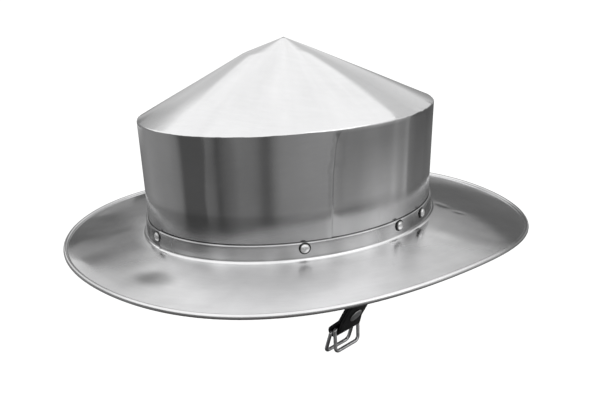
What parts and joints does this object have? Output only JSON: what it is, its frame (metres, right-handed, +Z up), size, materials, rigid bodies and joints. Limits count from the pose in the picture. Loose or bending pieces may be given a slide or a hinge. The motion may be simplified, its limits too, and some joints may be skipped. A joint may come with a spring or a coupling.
{
  "type": "kettle hat",
  "caption": "Steel kettle hat: upright oval crown wall with a low cone top, a wide riveted brim with a rolled edge, and a leather chin strap ending in wire buckle rings.",
  "frame": {"origin": "the middle of the head opening, level with the lower rim of the crown, where a head holds the hat", "axes": "+Z up through the cone, -Y to the front of the hat, +X to the wearer's left, the side with the buckle"},
  "size_m": [0.3452, 0.3766, 0.2563],
  "materials": {
    "polished_steel": "polished by hand, with soft streaks",
    "rivet_steel": "polished domes",
    "ring_steel": "bright wire",
    "black_leather": "satin"
  },
  "bodies": {
    "hat": {"crown": "polished_steel", "brim": "polished_steel", "collar_rivet_1": "rivet_steel", "collar_rivet_2": "rivet_steel", "collar_rivet_3": "rivet_steel", "collar_rivet_4": "rivet_steel", "collar_rivet_5": "rivet_steel", "collar_rivet_6": "rivet_steel", "strap_rivet_left": "rivet_steel", "strap_rivet_right": "rivet_steel", "buckle_strap": "black_leather", "tongue_strap": "black_leather", "fold_rivet": "ring_steel"},
    "outer_ring": {"ring_outer": "ring_steel"},
    "inner_ring": {"ring_inner": "ring_steel"}
  },
  "joints": [
    {"name": "outer_ring_swing", "type": "hinge", "parent": "hat", "child": "outer_ring", "pos_m": [0.05512, 0, -0.08851], "axis": [0, -1, 0], "range_deg": [-5, 130]},
    {"name": "inner_ring_swing", "type": "hinge", "parent": "hat", "child": "inner_ring", "pos_m": [0.05078, 0, -0.09223], "axis": [0, 1, 0], "range_deg": [-13, 170]}
  ]
}
